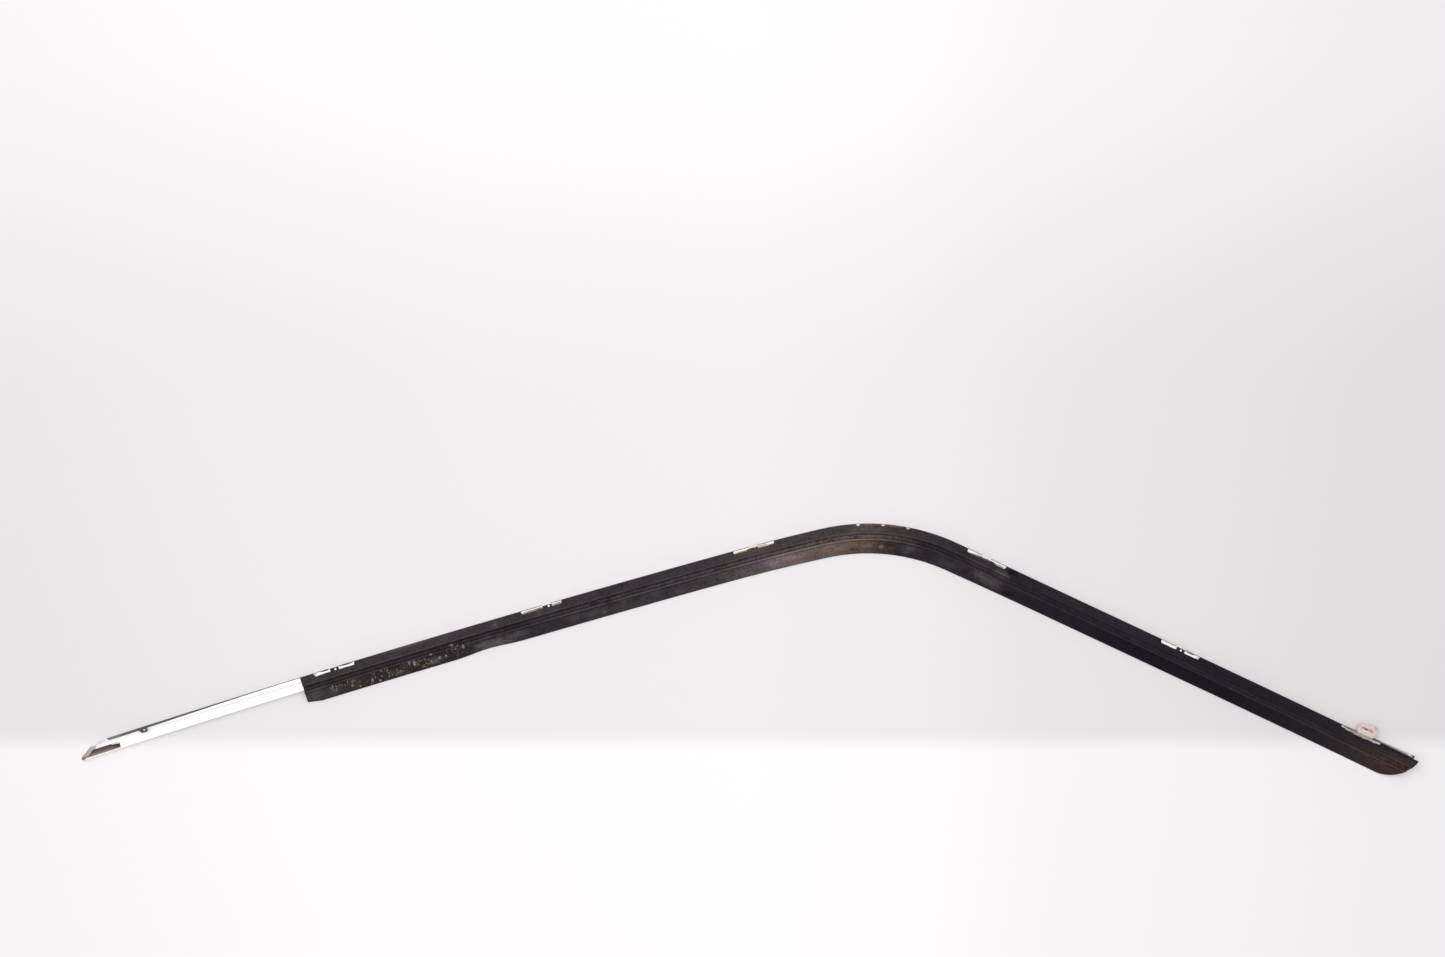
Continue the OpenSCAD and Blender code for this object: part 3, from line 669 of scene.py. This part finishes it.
def cloudyNylon():
    material, t = newFinish("cloudyNylon")
    along, across, z = findPlace(t)
    out = 0 - across
    side = along - nylon["middle"]
    plane = spot(t, side, out, 0)
    cloud = speckle(t, spot(t, along, across, z), 0.3, 4)
    fine = speckle(t, spot(t, along, across, z), 1.6, 4, 0.65)
    colour = blend(t, climb(t, cloud, 0.35, 0.7) * 0.6, tone(*nylon["body"]), tone(*nylon["bodyLight"]))
    colour = blend(t, climb(t, out + (cloud - 0.5) * 1.5, *nylon["rootReach"]), colour, tone(*nylon["root"]))
    for name, middle, size, shown, strength in nylon["tints"]:
        colour = blend(t, oval(t, plane, middle, size, cloud - 0.5) * strength, colour, tone(*shown))
    dirt = climb(t, fine, 0.6, 0.78) * 0.2
    colour = blend(t, dirt, colour, tone(150, 130, 108))
    bump = t.node("ShaderNodeBump", sockets={"Strength": 0.3, "Distance": 0.0002, "Height": fine}, out="Normal")
    closeFinish(t, {
        "Base Color": colour,
        "Roughness": 0.34 + fine * 0.16,
        "Subsurface Weight": 0.7,
        "Subsurface Radius": (0.004, 0.003, 0.002),
        "Subsurface Scale": 1.5,
        "Normal": bump,
    })
    return material


# Dried spatter that stands out from the rubber
spatter = {"count": 200, "along": (345, 565), "across": (24.5, 39), "size": (0.5, 1.5), "seed": 7}


def driedSpeck():
    material, t = newFinish("driedSpeck")
    where = t.node("ShaderNodeTexCoord", out="Object")
    tint = speckle(t, where, 160, 3)
    fine = speckle(t, where, 1800, 4, 0.7)
    colour = blend(t, climb(t, tint, 0.35, 0.65), tone(168, 158, 148), tone(126, 117, 106))
    bump = t.node("ShaderNodeBump", sockets={"Strength": 0.8, "Distance": 0.0002, "Height": fine}, out="Normal")
    closeFinish(t, {"Base Color": dim(t, colour, 0.7 + fine * 0.5), "Roughness": 0.85 + fine * 0.1, "Normal": bump})
    return material


def driedSpatter(finish):
    # flat crumbs, thickest in clusters on the lip, each laid on the face under it
    chance = random.Random(spatter["seed"])
    ground = BVHTree.FromObject(nodes["backing_profile"], bpy.context.evaluated_depsgraph_get())
    clusters = [(chance.uniform(*spatter["along"]), chance.uniform(20, 38)) for _ in range(16)]
    points, faces = [], []
    laid = 0
    while laid < spatter["count"]:
        home = chance.choice(clusters)
        along = home[0] + chance.gauss(0, 6)
        across = home[1] + chance.gauss(0, 3)
        inPlace = spatter["across"][0] < across < spatter["across"][1]
        plan = onLine(along, across) * mm
        hit, facing, _, _ = ground.ray_cast(Vector((plan.x, plan.y, 0.05)), Vector((0, 0, -1)))
        laid += 1
        if not inPlace or hit is None or facing.z < 0.3 or hit.z < 0.0012:
            continue
        size = chance.uniform(*spatter["size"]) * mm * (0.6 + 0.4 * chance.random())
        turn = facing.to_track_quat("Z", "Y")
        start = len(points)
        corners = 9
        spin = chance.uniform(0, math.tau)
        reach = [chance.uniform(0.65, 1.15) for _ in range(corners)]
        for ring, lift in ((1.0, -0.05), (0.86, 0.16), (0.5, 0.27)):
            for k in range(corners):
                angle = spin + math.tau * k / corners
                flat = Vector((math.cos(angle) * 0.6, math.sin(angle) * 1.3, 0)) * size * ring * reach[k]
                points.append(hit + turn @ (flat + Vector((0, 0, lift * size))))
        points.append(hit + turn @ Vector((0, 0, 0.3 * size)))
        points.append(hit + turn @ Vector((0, 0, -0.05 * size)))
        for ring in range(2):
            for k in range(corners):
                a, b = start + ring * corners + k, start + ring * corners + (k + 1) % corners
                faces.append((a, b, b + corners, a + corners))
        for k in range(corners):
            top = start + 2 * corners
            faces.append((top + k, top + (k + 1) % corners, start + 3 * corners))
            faces.append((start + (k + 1) % corners, start + k, start + 3 * corners + 1))
    mesh = bpy.data.meshes.new("dried_spatter")
    mesh.from_pydata(points, [], faces)
    mesh.polygons.foreach_set("use_smooth", [True] * len(faces))
    mesh.materials.append(finish)
    piece = bpy.data.objects.new("dried_spatter", mesh)
    bpy.context.scene.collection.objects.link(piece)
    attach(piece, "root")
    print("dried spatter,", len(faces), "faces")


def easeShading(piece, sharp=32):
    # joins the corners that the import splits, so that only real edges show as edges
    group = bpy.data.node_groups.new("easeShading", "GeometryNodeTree")
    group.interface.new_socket("Geometry", in_out="INPUT", socket_type="NodeSocketGeometry")
    group.interface.new_socket("Geometry", in_out="OUTPUT", socket_type="NodeSocketGeometry")
    start, end = group.nodes.new("NodeGroupInput"), group.nodes.new("NodeGroupOutput")
    join = group.nodes.new("GeometryNodeMergeByDistance")
    join.inputs["Distance"].default_value = 0.000002
    angle = group.nodes.new("GeometryNodeInputMeshEdgeAngle")
    test = group.nodes.new("FunctionNodeCompare")
    test.operation = "GREATER_THAN"
    test.inputs[1].default_value = math.radians(sharp)
    normals = group.nodes.new("GeometryNodeSetMeshNormal")
    normals.mode = "SHARPNESS"
    normals.inputs["Remove Custom"].default_value = True
    link = group.links.new
    link(start.outputs[0], join.inputs["Geometry"])
    link(join.outputs[0], normals.inputs["Mesh"])
    link(angle.outputs["Unsigned Angle"], test.inputs[0])
    link(test.outputs[0], normals.inputs["Edge Sharpness"])
    link(normals.outputs[0], end.inputs[0])
    easing = piece.modifiers.new("easeShading", "NODES")
    easing.node_group = group


def dress():
    sheet, black, steel, plastic = brightSheet(), agedRubber(), rustySteel(), cloudyNylon()
    for name, node in nodes.items():
        finish = {"trim_strip": sheet, "backing_profile": black, "nylon_clip": plastic}.get(name, steel)
        node.data.materials[0] = finish
        easeShading(node)
    print("finishes on", len(nodes), "solids")


# Floor, light and camera
studio = {
    "floor": (236, 232, 234),
    "floorSize": 14,
    # how much lighter the camera sees the floor, from left to right
    "haze": [(-1.05, 0.035), (-0.4, 0.11), (0, 0.135), (0.2, 0.12), (0.4, 0.08), (0.8, 0.035), (1, 0.012)],
    "nearFloor": ((-0.115, -0.15), 0.14),  # from where to where it gets lighter, and by how much
    "farFloor": ((0.35, 0.9), 0.11),
    "worldLight": 0.74,
    "lampSize": (4.0, 3.2),
    "lampPlace": (-1.5, 1.6, 3.3),
    "lampPower": 40,
    "cameraOver": (-0.0396, 0.2444),
    "cameraHeight": 6.0,
    "viewWidth": 2.0664,  # what the picture takes in from side to side, at the top of the moulding
}


def grey(light):
    return light, light, light, 1


def anyRay(t, *kinds):
    # 1 for the rays of these kinds
    path = [t.node("ShaderNodeLightPath", out=kind) for kind in kinds]
    return functools.reduce(lambda a, b: t.math("MAXIMUM", a, b), path)


def paleFloor():
    size = studio["floorSize"] / 2
    mesh = bpy.data.meshes.new("floor")
    mesh.from_pydata([(-size, -size, 0), (size, -size, 0), (size, size, 0), (-size, size, 0)], [], [(0, 1, 2, 3)])
    floor = bpy.data.objects.new("floor", mesh)
    floor.location.z = solidsBox[0].z
    bpy.context.scene.collection.objects.link(floor)
    material, t = newFinish("paleFloor")
    where = t.node("ShaderNodeTexCoord", out="Object")
    x, y = (t.node("ShaderNodeSeparateXYZ", sockets={0: where}, out=axis) for axis in "XY")
    haze = shades(t, x, [(at, (light,)) for at, light in studio["haze"]], grey)
    for ends, lighter in (studio["nearFloor"], studio["farFloor"]):
        haze = haze + climb(t, y, *ends) * lighter
    seen = anyRay(t, "Is Camera Ray", "Is Glossy Ray")
    closeFinish(t, {
        "Base Color": tone(*studio["floor"]),
        "Roughness": 0.9,
        "Specular IOR Level": 0.1,
        "Emission Color": dim(t, (1, 0.985, 0.99), seen * haze),
        "Emission Strength": 1,
    })
    mesh.materials.append(material)


def softLight():
    world = bpy.data.worlds.new("pale studio")
    bpy.context.scene.world = world
    world.use_nodes = True
    world.node_tree.nodes.clear()
    t = Wire(world.node_tree)
    seen = anyRay(t, "Is Camera Ray", "Is Glossy Ray", "Is Transmission Ray")
    strength = studio["worldLight"] + seen * (1 - studio["worldLight"])
    sky = t.node("ShaderNodeBackground", sockets={"Color": (1, 1, 1, 1), "Strength": strength})
    t.node("ShaderNodeOutputWorld", sockets={"Surface": sky})
    lamp = bpy.data.objects.new("softLamp", bpy.data.lights.new("softLamp", "AREA"))
    lamp.data.shape = "RECTANGLE"
    lamp.data.size, lamp.data.size_y = studio["lampSize"]
    lamp.data.energy = studio["lampPower"]
    lamp.location = studio["lampPlace"]
    lamp.rotation_euler = (-lamp.location).to_track_quat("-Z", "Y").to_euler()
    bpy.context.scene.collection.objects.link(lamp)


def camera():
    data = bpy.data.cameras.new("camera")
    data.sensor_width = 36
    top = solidsBox[1].z
    data.lens = data.sensor_width * (studio["cameraHeight"] - top) / studio["viewWidth"]
    data.clip_end = 100
    eye = bpy.data.objects.new("camera", data)
    eye.location = (*studio["cameraOver"], studio["cameraHeight"])
    bpy.context.scene.collection.objects.link(eye)
    bpy.context.scene.camera = eye


camera()
paleFloor()
softLight()
bpy.context.scene.view_settings.view_transform = "Standard"
print("floor, light and camera")
dress()
driedSpatter(driedSpeck())
